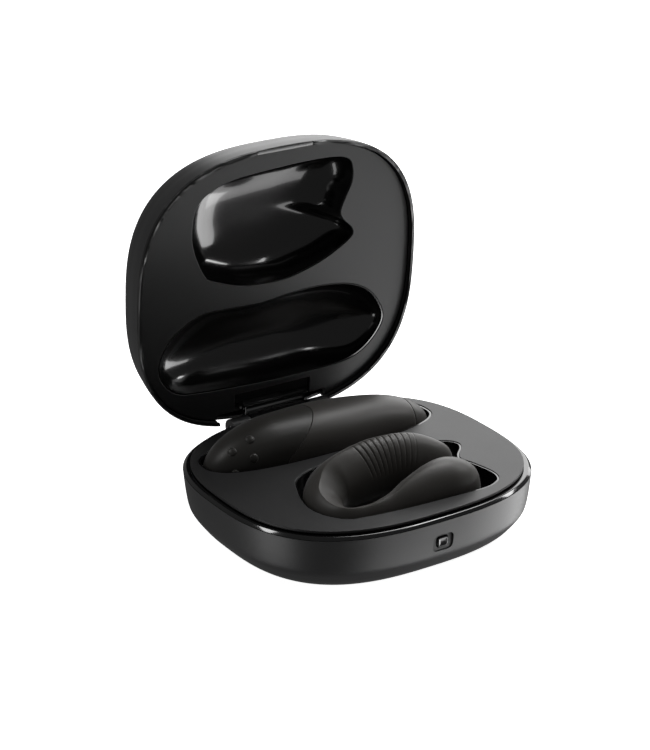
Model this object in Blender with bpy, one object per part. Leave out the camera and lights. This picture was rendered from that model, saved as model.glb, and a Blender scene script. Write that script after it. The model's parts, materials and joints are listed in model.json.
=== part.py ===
"""Hinged charging case, open, holding a palm remote and a folded wearable.

Lengths are in millimetres and are turned into metres where a mesh is made. The origin is the middle of the
resting face, +X is right, +Y is towards the hinge and +Z is up. The lid is drawn closed and then turned open.
"""

import math

import bmesh
import bpy
from mathutils import Matrix, Vector

MM = 0.001
GAP = 0.3  # between pieces that meet

# Case
CASE_WIDTH = 115.0
CASE_DEPTH = 105.4
OUTLINE_POWER = 2.71
RIM_Z = 24.4
WALL = 2.0
CHAMFER = 1.06
RING_FLANGE = 3.0
CASE_SIDES = 40
BOTTOM_Z = 0.5

# Inner deck and the pockets under it
DECK_RISE = 1.3
DECK_INSET = 2.5
DECK_THICKNESS = 1.0
LIP = 0.8
POCKET_WALL = 1.2
POCKET_FLANGE = 1.1
POCKET_FLOOR_Z = 13.2
POCKET_SIDES = 32

# Lid
LID_HEIGHT = 22.8
LID_GAP = 0.25
LID_RING = 1.2
LID_RING_WIDTH = 1.3
LID_WALL = 1.2
PLATE_RECESS = 2.0
PLATE_THICKNESS = 1.5
PLATE_EDGE = 0.8  # from the wall's inner face at the rim to the plate
LID_OPEN_DEGREES = 85.0
RECESS_CLEARANCE = 1.7

# Hinge
HINGE_SPAN = 41.4
HINGE_SETBACK = 0.95
HINGE_DROP = 1.1
KNUCKLE_RADIUS = 3.5
KNUCKLE_LENGTH = 25.2
PIN_RADIUS = 1.0
RUNNING_GAP = 0.35
LID_CUT_MARGIN = 3.3

# Front button
BUTTON_WIDTH = 4.2
BUTTON_HEIGHT = 3.7
BUTTON_RIM = 1.9
BUTTON_DROP = 9.05
BUTTON_TRAVEL = 0.6

# Charging port
PORT_WIDTH = 8.9
PORT_HEIGHT = 3.2
PORT_Z = 10.1

# Base fixings
SCREW_RADIUS = 1.0
SCREW_HEAD_RADIUS = 1.9
BOSS_RADIUS = 2.6
PAD_WIDTH = 76.0
PAD_DEPTH = 66.0
PAD_THICKNESS = 1.0
MAGNET_RADIUS = 3.0
MAGNET_HEIGHT = 2.2
MAGNET_INSET = 6.2

# Remote
REMOTE_LENGTH = 92.5
REMOTE_WIDTH = 27.0
REMOTE_RISE = 12.8
REMOTE_SKIN = 1.6
REMOTE_Y = 24.0
REMOTE_X = -0.8
REMOTE_SIDES = 22
REMOTE_CLEARANCE = 0.9
REMOTE_BUTTON_RADIUS = 1.8
REMOTE_BUTTON_RISE = 0.7

# Wearable
DEVICE_WIDTH = 59.0
DEVICE_DEPTH = 37.5
DEVICE_X = -3.5
DEVICE_Y = -22.0
DEVICE_SIDES = 16
DEVICE_BOTTOM_Z = 14.6
DEVICE_SKIN = 2.0

CHARCOAL = ((0.030, 0.030, 0.031), 0.55, 0.0)
GLOSS_BLACK = ((0.006, 0.006, 0.007), 0.08, 0.0)
SILICONE = ((0.060, 0.056, 0.052), 0.60, 0.0)
DARK_SILICONE = ((0.030, 0.028, 0.026), 0.62, 0.0)
BOARD = ((0.02, 0.10, 0.05), 0.5, 0.0)
STEEL = ((0.55, 0.55, 0.56), 0.3, 1.0)
GOLD = ((0.8, 0.6, 0.25), 0.3, 1.0)
FOIL = ((0.45, 0.46, 0.48), 0.4, 0.3)
RUBBER = ((0.02, 0.02, 0.02), 0.8, 0.0)

deckTop = RIM_Z + DECK_RISE
lidBase = RIM_Z + LID_GAP
plateFace = lidBase + PLATE_RECESS
hingeY = CASE_DEPTH / 2 - HINGE_SETBACK
hingeZ = RIM_Z - HINGE_DROP
buttonZ = RIM_Z - BUTTON_DROP
remoteTop = deckTop + REMOTE_RISE
remoteBottom = POCKET_FLOOR_Z + GAP

# How far the walls lean in, as (share of the height below the rim, inset)
BASE_PROFILE = (
    (0.17, 0.31), (0.34, 0.69), (0.52, 1.3), (0.60, 2.0), (0.69, 3.4), (0.80, 5.4), (0.89, 8.0), (0.96, 11.0),
)
LID_PROFILE = (
    (0.20, 0.6), (0.36, 1.3), (0.50, 1.9), (0.62, 2.7), (0.72, 4.0), (0.81, 6.2), (0.90, 10.0), (0.965, 16.0),
)
BOTTOM_INSET = 15.0
CROWN_INSET = 27.0

# Outlines seen from above, as shares of the half length and half width of the piece that they hold
LID_REMOTE_OUTLINE = (
    (-1.04, -0.12), (-0.99, 0.42), (-0.85, 0.81), (-0.60, 0.94), (-0.30, 1.01), (0.0, 1.06), (0.32, 1.06),
    (0.60, 1.04), (0.80, 0.88), (0.95, 0.48), (1.03, -0.02), (0.99, -0.52), (0.87, -1.02), (0.68, -1.34),
    (0.40, -1.48), (0.15, -1.46), (-0.15, -1.36), (-0.42, -1.40), (-0.66, -1.40), (-0.84, -1.12),
    (-0.97, -0.72),
)
DEVICE_OUTLINE = (
    (1.27, 1.02), (1.40, 0.78), (1.36, 0.56), (1.22, 0.33), (1.17, 0.15), (1.22, -0.16), (1.265, -0.59),
    (1.24, -0.85), (1.15, -1.02), (0.93, -1.13), (0.46, -1.10), (-0.05, -1.06), (-0.56, -0.97), (-0.83, -0.86),
    (-1.0, -0.53), (-1.06, -0.16), (-1.03, 0.21), (-0.93, 0.64), (-0.76, 1.09), (-0.36, 1.34), (0.20, 1.38),
    (0.80, 1.26),
)
LID_DEVICE_OUTLINE = (
    (-0.81, 0.83), (-0.39, 1.06), (0.12, 1.12), (0.46, 1.03), (0.80, 0.85), (1.14, 0.54), (1.16, 0.34),
    (1.03, 0.13), (0.98, -0.05), (1.04, -0.32), (1.12, -0.59), (1.13, -0.85), (1.07, -1.09), (0.86, -1.20),
    (0.46, -1.22), (-0.05, -1.19), (-0.56, -1.12), (-0.86, -0.96), (-1.02, -0.75), (-1.085, -0.43),
    (-1.085, 0.0), (-1.0, 0.43), (-0.90, 0.72),
)

# The folded body: (x, y) of its middle and its half thickness as shares, and its crest above the deck in mm
DEVICE_PATH = (
    (1.10, 0.46, 0.05, 1.5), (0.95, 0.36, 0.28, 6.5), (0.58, 0.46, 0.38, 11.5), (0.12, 0.55, 0.42, 12.4),
    (-0.29, 0.53, 0.43, 11.2), (-0.58, 0.45, 0.42, 8.8), (-0.77, 0.16, 0.36, 5.0), (-0.81, -0.21, 0.31, 2.6),
    (-0.72, -0.53, 0.28, 1.9), (-0.49, -0.65, 0.26, 2.2), (-0.22, -0.68, 0.27, 3.8), (0.05, -0.66, 0.33, 6.8),
    (0.34, -0.62, 0.40, 8.9), (0.60, -0.59, 0.46, 9.3), (0.82, -0.59, 0.42, 7.6), (0.97, -0.60, 0.30, 4.4),
    (1.06, -0.61, 0.06, 0.5),
)

# Places on the remote's top, as shares of its half length and half width
REMOTE_BUTTONS = {
    "up": (-0.68, -0.42), "down": (-0.83, -0.38), "mode": (-0.70, -0.72), "power": (-0.84, -0.65),
}


def clear_scene():
    for item in list(bpy.data.objects):
        bpy.data.objects.remove(item)


def material(name, finish):
    made = bpy.data.materials.get(name) or bpy.data.materials.new(name)
    made.use_nodes = True
    shader = made.node_tree.nodes["Principled BSDF"]
    color, roughness, metallic = finish
    shader.inputs["Base Color"].default_value = (*color, 1.0)
    shader.inputs["Roughness"].default_value = roughness
    shader.inputs["Metallic"].default_value = metallic
    return made


def finished(name, bm, finish, parent=None, hidden=False):
    """Makes the object called name from bm, whose points are in millimetres, under the empty parent."""
    bmesh.ops.recalc_face_normals(bm, faces=bm.faces)
    origin = parent.location if parent else Vector()
    for vert in bm.verts:
        vert.co = vert.co * MM - origin
    mesh = bpy.data.meshes.new(name)
    bm.to_mesh(mesh)
    bm.free()
    mesh.shade_smooth()
    mesh.set_sharp_from_angle(angle=math.radians(35))
    mesh.materials.append(material(finish, FINISHES[finish]))
    made = bpy.data.objects.new(name, mesh)
    made.parent = parent
    made.hide_render = hidden
    made.display_type = "WIRE" if hidden else "TEXTURED"
    bpy.context.scene.collection.objects.link(made)
    return made


def loft(rings, closed=False):
    """A solid through rings of equal length: capped at both ends, or joined end to start when closed."""
    bm = bmesh.new()
    rows = [[bm.verts.new(point) for point in ring] for ring in rings]
    pairs = list(zip(rows, rows[1:])) + ([(rows[-1], rows[0])] if closed else [])
    for low, high in pairs:
        for i in range(len(low)):
            j = (i + 1) % len(low)
            bm.faces.new((low[i], low[j], high[j], high[i]))
    if not closed:
        bm.faces.new(rows[0])
        bm.faces.new(rows[-1])
    return bm


def prism(outline, low, high):
    return loft([at_height(outline, low), at_height(outline, high)])


def box(x, y, z):
    outline = ((x[0], y[0]), (x[1], y[0]), (x[1], y[1]), (x[0], y[1]))
    return prism(outline, *z)


def circle(centre, radius, sides):
    turns = [2 * math.pi * i / sides for i in range(sides)]
    return [(centre[0] + radius * math.cos(t), centre[1] + radius * math.sin(t)) for t in turns]


def disc(centre, radius, low, high, sides=20):
    return prism(circle(centre, radius, sides), low, high)


def rod_x(y, z, radius, x, sides=24):
    """A cylinder along X."""
    return loft([[(at, p[0], p[1]) for p in circle((y, z), radius, sides)] for at in x])


def at_height(outline, z):
    return [(point[0], point[1], z) for point in outline]


def superellipse(half_width, half_depth, sides=CASE_SIDES):
    points = []
    for i in range(sides):
        turn = 2 * math.pi * i / sides
        c, s = math.cos(turn), math.sin(turn)
        points.append((
            half_width * math.copysign(abs(c) ** (2 / OUTLINE_POWER), c),
            half_depth * math.copysign(abs(s) ** (2 / OUTLINE_POWER), s),
        ))
    return points


def case_ring(inset, z):
    return at_height(superellipse(CASE_WIDTH / 2 - inset, CASE_DEPTH / 2 - inset), z)


def on_curve(a, b, c, d, t):
    """The point at t between b and c of the smooth curve through a, b, c and d."""
    return 0.5 * (2 * b + (c - a) * t + (2 * a - 5 * b + 4 * c - d) * t**2 + (3 * b - a - 3 * c + d) * t**3)


def smooth_outline(points, centre, half_size, sides=POCKET_SIDES):
    """An even closed curve through points that are shares of half_size about centre."""
    corners = [Vector((centre[0] + p[0] * half_size[0], centre[1] + p[1] * half_size[1])) for p in points]
    dense = []
    count = len(corners)
    for i in range(count):
        a, b, c, d = (corners[(i + k - 1) % count] for k in range(4))
        for step in range(8):
            t = step / 8
            dense.append(on_curve(a, b, c, d, t))
    return resampled(dense, sides)


def resampled(points, sides):
    lengths = [0.0]
    for i, point in enumerate(points):
        lengths.append(lengths[-1] + (points[(i + 1) % len(points)] - point).length)
    result = []
    at = 0
    for i in range(sides):
        target = lengths[-1] * i / sides
        while lengths[at + 1] < target:
            at += 1
        share = (target - lengths[at]) / (lengths[at + 1] - lengths[at])
        result.append(points[at].lerp(points[(at + 1) % len(points)], share))
    return result


def grown(outline, distance):
    """The outline moved outwards by distance, whichever way round it runs."""
    count = len(outline)
    area = sum(outline[i - 1][0] * outline[i][1] - outline[i][0] * outline[i - 1][1] for i in range(count))
    side = math.copysign(distance, area)
    result = []
    for i in range(count):
        along = Vector(outline[(i + 1) % count]) - Vector(outline[i - 1])
        result.append(Vector(outline[i]) + side * Vector((along.y, -along.x)).normalized())
    return result


def shrunk(outline, share):
    middle = sum((Vector(p) for p in outline), Vector((0.0, 0.0))) / len(outline)
    return [middle + (Vector(p) - middle) * (1 - share) for p in outline]


def cut(target, bm, name):
    """Takes bm out of target with a Boolean and a hidden cutter."""
    cutter = finished(name, bm, "guide", hidden=True)
    if target.parent:
        cutter.parent = target.parent
        cutter.matrix_parent_inverse = Matrix.Translation(-target.parent.location)
    add_boolean(target, cutter, "DIFFERENCE")


def join(target, bm, name):
    piece = finished(name, bm, "guide", hidden=True)
    if target.parent:
        piece.parent = target.parent
        piece.matrix_parent_inverse = Matrix.Translation(-target.parent.location)
    add_boolean(target, piece, "UNION")


def add_boolean(target, other, operation):
    modifier = target.modifiers.new(other.name, "BOOLEAN")
    modifier.operation = operation
    modifier.object = other
    modifier.solver = "EXACT"


def add_pivot(name, location_mm):
    pivot = bpy.data.objects.new(name, None)
    pivot.location = Vector(location_mm) * MM
    bpy.context.scene.collection.objects.link(pivot)
    return pivot


# ---- Case outlines and pockets


def wall_profile(profile, height):
    return [(share * height, inset) for share, inset in profile]


def pocket_rings(mouth, top, floor, panel, wall_side):
    """A cup whose flange lies behind a panel. wall_side is -1 when it opens upwards and 1 downwards."""
    depth = abs(top - floor)
    steps = (0.0, 0.35, 0.62, 0.82, 0.94, 1.0)

    def inset(t):
        return 0.20 * (1 - math.sqrt(max(0.0, 1 - (0.98 * t) ** 2)))

    flange_top = top + wall_side * (panel + GAP)
    flange_low = flange_top + wall_side * DECK_THICKNESS
    rings = [at_height(shrunk(mouth, inset(t)), top + wall_side * t * depth) for t in reversed(steps)]
    rings.append(at_height(grown(mouth, LIP), top))
    rings.append(at_height(grown(mouth, LIP), flange_top))
    rings.append(at_height(grown(mouth, LIP + POCKET_FLANGE), flange_top))
    rings.append(at_height(grown(mouth, LIP + POCKET_FLANGE), flange_low))
    outer_floor = floor + wall_side * POCKET_WALL
    for t in (0.0, 0.4, 0.75, 1.0):
        z = flange_low + (outer_floor - flange_low) * t
        rings.append(at_height(grown(shrunk(mouth, inset(t)), POCKET_WALL), z))
    return rings


def remote_outline(margin, sides=POCKET_SIDES):
    """The remote's plan, grown by margin."""
    points = []
    for i in range(sides):
        turn = 2 * math.pi * i / sides
        c, s = math.cos(turn), math.sin(turn)
        points.append((
            REMOTE_X + (REMOTE_LENGTH / 2 + margin) * math.copysign(abs(c) ** 0.78, c),
            REMOTE_Y + (REMOTE_WIDTH / 2 + margin) * math.copysign(abs(s) ** 0.72, s),
        ))
    return points


def device_outline(points):
    return smooth_outline(points, (DEVICE_X, DEVICE_Y), (DEVICE_WIDTH / 2, DEVICE_DEPTH / 2))


def lid_remote_outline():
    return smooth_outline(LID_REMOTE_OUTLINE, (REMOTE_X, REMOTE_Y), (REMOTE_LENGTH / 2, REMOTE_WIDTH / 2))


# ---- Base


def make_base():
    height = RIM_Z - CHAMFER - BOTTOM_Z
    top = RIM_Z - CHAMFER - GAP
    profile = wall_profile(BASE_PROFILE, height)
    outer = [case_ring(BOTTOM_INSET, BOTTOM_Z)]
    outer += [case_ring(inset, RIM_Z - CHAMFER - drop) for drop, inset in reversed(profile)]
    outer.append(case_ring(0.0, top))
    floor = BOTTOM_Z + WALL
    inner = [case_ring(WALL, top)]
    inner += [case_ring(inset + WALL, RIM_Z - CHAMFER - drop) for drop, inset in profile[:5]]
    inner.append(case_ring(BOTTOM_INSET - WALL, floor + 1.0))
    inner.append(case_ring(BOTTOM_INSET + WALL, floor))
    shell = finished("base_shell", loft(outer + inner), "charcoal")

    back = CASE_DEPTH / 2
    reach = (hingeY - KNUCKLE_RADIUS - RUNNING_GAP, back + WALL)
    slot = (-HINGE_SPAN / 2 - GAP, HINGE_SPAN / 2 + GAP)
    cut(shell, box(slot, reach, (hinge_seat() - GAP, RIM_Z + WALL)), "hinge_window")
    half = (BUTTON_WIDTH / 2 + BUTTON_RIM, BUTTON_HEIGHT / 2 + BUTTON_RIM / 1.5)
    cut(shell, rounded_bar_y((0, buttonZ), half, 1.9, (-back - WALL, -back + 1.55)), "button_dish")
    through = (BUTTON_WIDTH / 2 + GAP, BUTTON_HEIGHT / 2 + GAP)
    cut(shell, rounded_bar_y((0, buttonZ), through, 1.2, (-back, -back + 3 * WALL)), "button_window")
    socket = (PORT_WIDTH / 2 + GAP, PORT_HEIGHT / 2 + GAP)
    cut(shell, rounded_bar_y((0, PORT_Z), socket, 1.5, (back - 4 * WALL, back + WALL)), "port_window")
    pad = superellipse(PAD_WIDTH / 2 + GAP, PAD_DEPTH / 2 + GAP)
    cut(shell, prism(pad, -WALL, PAD_THICKNESS + GAP), "pad_seat")
    for name, spot in screw_spots().items():
        cut(shell, disc(spot, SCREW_RADIUS + GAP, -WALL, 3 * WALL, 12), "screw_way_" + name)

    ring = finished("base_trim_ring", loft([
        case_ring(0.0, RIM_Z - CHAMFER), case_ring(CHAMFER, RIM_Z), case_ring(RING_FLANGE, RIM_Z),
        case_ring(RING_FLANGE, RIM_Z - CHAMFER),
    ], closed=True), "gloss_black")
    cut(ring, box(slot, (reach[0] - RING_FLANGE, reach[1]), (0, RIM_Z + WALL)), "ring_hinge_gap")

    deck_low = deckTop - DECK_THICKNESS
    edge = 0.25
    deck = finished("base_deck", loft([
        case_ring(DECK_INSET, deck_low), case_ring(DECK_INSET, deckTop - edge),
        case_ring(DECK_INSET + edge, deckTop),
    ]), "charcoal")
    cut(deck, box(slot, reach, (0, deckTop + WALL)), "deck_hinge_gap")
    mouths = {"remote": remote_outline(REMOTE_CLEARANCE), "device": device_outline(DEVICE_OUTLINE)}
    for name, mouth in mouths.items():
        cut(deck, prism(grown(mouth, LIP + GAP), deck_low - WALL, deckTop + WALL), "deck_opening_" + name)
        bowl = loft(pocket_rings(mouth, deckTop, POCKET_FLOOR_Z, DECK_THICKNESS, -1))
        pocket = finished(name + "_pocket", bowl, "gloss_black")
        for screw, spot in screw_spots().items():
            if screw.startswith(name):
                low = SCREW_HEAD_RADIUS + BOTTOM_Z + WALL + GAP
                boss = disc(spot, BOSS_RADIUS, low, POCKET_FLOOR_Z - POCKET_WALL / 2, 14)
                join(pocket, boss, "boss_" + screw)
                cut(pocket, disc(spot, SCREW_RADIUS + GAP, 0, low + 5.0, 12), "pilot_" + screw)
        for pin, spot in pin_spots().items():
            if pin.startswith(name):
                cut(pocket, disc(spot, PIN_RADIUS + GAP, 0, POCKET_FLOOR_Z + WALL, 12), "pin_way_" + pin)


def hinge_seat():
    return hingeZ - KNUCKLE_RADIUS - 0.8


def rounded_bar_y(centre, half, radius, y):
    """A bar along Y with a rounded rectangle for its section, at x and z of centre."""
    corner = 5
    section = []
    for k, (sx, sz) in enumerate(((1, 1), (-1, 1), (-1, -1), (1, -1))):
        for i in range(corner):
            turn = math.pi / 2 * (k + i / (corner - 1))
            section.append((
                centre[0] + sx * (half[0] - radius) + radius * math.cos(turn),
                centre[1] + sz * (half[1] - radius) + radius * math.sin(turn),
            ))
    return loft([[(p[0], at, p[1]) for p in section] for at in y])


def screw_spots():
    x = PAD_WIDTH / 2 - 8.0
    return {
        "remote_left": (-x, REMOTE_Y), "remote_right": (x, REMOTE_Y),
        "device_left": (DEVICE_X - DEVICE_WIDTH / 3, DEVICE_Y),
        "device_right": (DEVICE_X + DEVICE_WIDTH / 2.4, DEVICE_Y - 8),
    }


def pin_spots():
    return {
        "remote_left": (-1.0, REMOTE_Y), "remote_right": (4.0, REMOTE_Y),
        "device_left": (-4.0, DEVICE_Y + 10.3), "device_right": (1.0, DEVICE_Y + 10.3),
    }


def make_base_insides():
    pad = superellipse(PAD_WIDTH / 2, PAD_DEPTH / 2)
    finished("foot_pad", prism(pad, 0.0, PAD_THICKNESS), "rubber")
    seat = BOTTOM_Z + WALL + GAP
    for name, spot in screw_spots().items():
        head, shank = circle(spot, SCREW_HEAD_RADIUS, 14), circle(spot, SCREW_RADIUS, 14)
        steps = ((head, seat), (head, seat + 1.2), (shank, seat + 1.2), (shank, seat + 5.5))
        finished("case_screw_" + name, loft([at_height(outline, z) for outline, z in steps]), "steel")

    board_z = PORT_Z - PORT_HEIGHT / 2 - GAP
    plate = box((-20, 20), (DEVICE_Y + 6, CASE_DEPTH / 2 - 8.2), (board_z - 1.2, board_z))
    board = finished("main_board", plate, "board")
    for side in (-1, 1):
        notch = box((side * 9, side * 60), (DEVICE_Y, REMOTE_Y - 12), (0, board_z + WALL))
        cut(board, notch, "board_notch_%d" % side)
    can = (CASE_DEPTH / 2 - 10.0, CASE_DEPTH / 2 - 2.6)
    port = finished(
        "usb_port", rounded_bar_y((0, PORT_Z), (PORT_WIDTH / 2, PORT_HEIGHT / 2), 1.4, can), "steel",
    )
    inner = (PORT_WIDTH / 2 - 0.35, PORT_HEIGHT / 2 - 0.35)
    cut(port, rounded_bar_y((0, PORT_Z), inner, 1.1, (CASE_DEPTH / 2 - 9.0, CASE_DEPTH / 2)), "port_hollow")
    tongue = box((-3.2, 3.2), (CASE_DEPTH / 2 - 9.4, CASE_DEPTH / 2 - 3.6), (PORT_Z - 0.35, PORT_Z + 0.35))
    join(port, tongue, "port_tongue")
    finished("battery_cell", box((-13, 15), (DEVICE_Y - 12, DEVICE_Y + 5), (seat, seat + 6.0)), "foil")

    for name, spot in pin_spots().items():
        tip = POCKET_FLOOR_Z if name.startswith("device") else POCKET_FLOOR_Z - GAP
        barrel = circle(spot, PIN_RADIUS, 12)
        point = circle(spot, PIN_RADIUS * 0.55, 12)
        steps = ((barrel, board_z + GAP), (barrel, tip - 0.6), (point, tip))
        finished("pogo_pin_" + name, loft([at_height(outline, z) for outline, z in steps]), "gold")
    for side, name in ((-1, "left"), (1, "right")):
        spot = magnet_spot(side)
        low = RIM_Z - CHAMFER - GAP - MAGNET_HEIGHT
        finished("base_magnet_" + name, disc(spot, MAGNET_RADIUS, low, low + MAGNET_HEIGHT, 18), "steel")


def magnet_spot(side):
    corner = 0.5 ** (1 / OUTLINE_POWER)
    return (side * (CASE_WIDTH / 2 - MAGNET_INSET) * corner, -(CASE_DEPTH / 2 - MAGNET_INSET) * corner)


def make_front_button():
    front = -CASE_DEPTH / 2
    pivot = add_pivot("front_button_pivot", (0, front, buttonZ))
    half = (BUTTON_WIDTH / 2, BUTTON_HEIGHT / 2)
    cap = rounded_bar_y((0, buttonZ), half, 1.0, (front + 0.9, front + 4.1))
    button = finished("front_button", cap, "gloss_black", pivot)
    add_bevel(button, 0.25)
    wide = (BUTTON_WIDTH / 2 + 0.9, BUTTON_HEIGHT / 2 + 0.9)
    join(button, rounded_bar_y((0, buttonZ), wide, 1.2, (front + 4.0, front + 4.8)), "button_flange")
    switch_front = front + 4.8 + BUTTON_TRAVEL + GAP
    switch = box((-1.6, 1.6), (switch_front, switch_front + 1.0), (buttonZ - 1.6, buttonZ + 1.6))
    finished("button_switch", switch, "steel")
    board = (switch_front + 1.0 + GAP, switch_front + 2.0 + GAP)
    finished("button_board", box((-5, 5), board, (buttonZ - 4.5, buttonZ + 3.5)), "board")


def add_bevel(target, width):
    modifier = target.modifiers.new("edge", "BEVEL")
    modifier.width = width * MM
    modifier.segments = 2
    modifier.limit_method = "ANGLE"
    modifier.angle_limit = math.radians(40)


def make_hinge(lid_pivot):
    half = HINGE_SPAN / 2
    inner = KNUCKLE_LENGTH / 2 + GAP
    foot = box((-half, half), (hingeY - KNUCKLE_RADIUS, CASE_DEPTH / 2 - 0.5), (hinge_seat(), hingeZ - 1.0))
    bracket = finished("base_hinge_bracket", foot, "charcoal")
    for side, name in ((-1, "left"), (1, "right")):
        join(bracket, rod_x(hingeY, hingeZ, KNUCKLE_RADIUS, (side * inner, side * half)), "knuckle_" + name)
    clear = KNUCKLE_RADIUS + RUNNING_GAP
    cut(bracket, rod_x(hingeY, hingeZ, clear, (-inner, inner)), "knuckle_trough")
    cut(bracket, rod_x(hingeY, hingeZ, PIN_RADIUS + GAP, (-half - 1, half + 1), 16), "bracket_bore")
    finished("hinge_pin", rod_x(hingeY, hingeZ, PIN_RADIUS, (-half + 0.4, half - 0.4), 16), "steel")

    leaf = leaf_box()
    bottom = plateFace + 0.85
    knuckle = KNUCKLE_LENGTH / 2
    plate = box(leaf[0], leaf[1], (bottom, bottom + 1.5))
    bracket = finished("lid_hinge_bracket", plate, "gloss_black", lid_pivot)
    arm = (deckTop + 0.35, bottom + 0.9)
    join(bracket, box((-knuckle, knuckle), (leaf[1][1] - 1.5, hingeY + 0.5), arm), "lid_arm")
    join(bracket, rod_x(hingeY, hingeZ, KNUCKLE_RADIUS, (-knuckle, knuckle)), "lid_knuckle")
    cut(bracket, rod_x(hingeY, hingeZ, PIN_RADIUS + GAP, (-half, half), 16), "lid_bore")
    slot_y = leaf[1][1] - 3.0
    slot = box((leaf[0][0] + 4.0, leaf[0][0] + 20.0), (slot_y - 0.6, slot_y + 0.6), (0, bottom + 0.8))
    cut(bracket, slot, "leaf_slot")


def leaf_box():
    """The leaf's x and y, drawn with the lid closed."""
    return (-16.7, 14.7), (hingeY - 10.9, hingeY - 4.2)


# ---- Lid


def make_lid(pivot):
    start = lidBase + LID_RING + GAP
    profile = wall_profile(LID_PROFILE, LID_HEIGHT)
    outer = [case_ring(0.1, start)] + [case_ring(inset, lidBase + rise) for rise, inset in profile]
    outer.append(case_ring(CROWN_INSET, lidBase + LID_HEIGHT))
    inner = [case_ring(CROWN_INSET + WALL, lidBase + LID_HEIGHT - LID_WALL)]
    for rise, inset in reversed(profile[:6]):
        sunk = 0.8 if rise > LID_HEIGHT / 2 else 0.0
        inner.append(case_ring(inset + LID_WALL, lidBase + rise - sunk))
    inner.append(case_ring(LID_RING_WIDTH - 0.2, start))
    shell = finished("lid_shell", loft(outer[::-1] + inner[::-1]), "charcoal", pivot)
    half = HINGE_SPAN / 2 + LID_CUT_MARGIN
    reach = (hingeY - KNUCKLE_RADIUS - RUNNING_GAP - 0.9, CASE_DEPTH)
    top = hingeZ + KNUCKLE_RADIUS + 2.7
    cut(shell, box((-half, half), reach, (0, top)), "lid_hinge_gap")

    edge = 0.5
    ring = finished("lid_trim_ring", loft([
        case_ring(0.0, lidBase + LID_RING), case_ring(0.0, lidBase + edge), case_ring(edge, lidBase),
        case_ring(LID_RING_WIDTH, lidBase), case_ring(LID_RING_WIDTH, lidBase + LID_RING),
    ], closed=True), "gloss_black", pivot)
    cut(ring, box((-half, half), reach, (0, top)), "lid_ring_gap")

    back_face = plateFace + PLATE_THICKNESS
    inset = LID_WALL + PLATE_EDGE
    plate = finished("lid_plate", loft([
        case_ring(inset + 0.2, plateFace), case_ring(inset, plateFace + 0.2), case_ring(inset, back_face),
    ]), "charcoal", pivot)
    cut(plate, box((-half, half), reach, (0, top)), "plate_hinge_gap")
    leaf = leaf_box()
    seat = ((leaf[0][0] - GAP, leaf[0][1] + GAP), (leaf[1][0] - GAP, CASE_DEPTH))
    cut(plate, box(*seat, (0, back_face + WALL)), "leaf_seat")
    mouths = {
        "remote": (lid_remote_outline(), remoteTop + RECESS_CLEARANCE),
        "device": (device_outline(LID_DEVICE_OUTLINE), deckTop + 12.6 + RECESS_CLEARANCE),
    }
    for name, (mouth, ceiling) in mouths.items():
        opening = prism(grown(mouth, LIP + GAP), plateFace - WALL, back_face + WALL)
        cut(plate, opening, "plate_opening_" + name)
        recess = loft(pocket_rings(mouth, plateFace, ceiling, PLATE_THICKNESS, 1))
        finished("lid_" + name + "_recess", recess, "gloss_black", pivot)
    for side, name in ((-1, "left"), (1, "right")):
        low = back_face + GAP
        magnet = disc(magnet_spot(side), MAGNET_RADIUS, low, low + MAGNET_HEIGHT, 18)
        finished("lid_magnet_" + name, magnet, "steel", pivot)


# ---- Remote


def remote_station(u):
    """Middle height, half width and half height of the remote at u, from -1 (left end) to 1 (right end)."""
    width = REMOTE_WIDTH / 2 * (1 - abs(u) ** 2.9) ** 0.47 * (0.955 + 0.045 * math.cos(2 * math.pi * u))
    crest = remoteTop - 0.4 - 5.4 * max(0.0, u + 0.1) ** 1.7 - 15.0 * max(0.0, -u - 0.45) ** 1.6
    full = (crest - remoteBottom) / 2
    height = full * (1 - abs(u) ** 5.2) ** 0.5
    middle = (crest + remoteBottom) / 2
    return middle, width, height


def remote_ring(u, wall=0.0, bow=0.0):
    middle, width, height = remote_station(u)
    ring = []
    for i in range(REMOTE_SIDES):
        turn = 2 * math.pi * i / REMOTE_SIDES
        y = (width - wall) * math.copysign(abs(math.cos(turn)) ** 0.92, math.cos(turn))
        z = (height - wall) * math.copysign(abs(math.sin(turn)) ** 0.92, math.sin(turn))
        x = remote_x(u) - bow * (y / (REMOTE_WIDTH / 2)) ** 2
        ring.append((x, REMOTE_Y + y, middle + z))
    return ring


# Along the remote, as shares of its half length
LEFT_SEAM, RIGHT_SEAM = -0.145, 0.84
REMOTE_BOARD = (-0.70, 0.19)
REMOTE_CELL = (0.235, 0.73)
LEFT_BOW, RIGHT_BOW = 9.0, 4.0


def remote_x(share):
    return REMOTE_X + share * REMOTE_LENGTH / 2


def seam_share(u):
    """The bow of a ring: full at its seam and none by the next station."""
    if u <= LEFT_SEAM:
        return LEFT_BOW * max(0.0, (u + 0.62) / (LEFT_SEAM + 0.62))
    return LEFT_BOW + (RIGHT_BOW - LEFT_BOW) * min(1.0, (u - LEFT_SEAM) / (RIGHT_SEAM - LEFT_SEAM))


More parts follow.
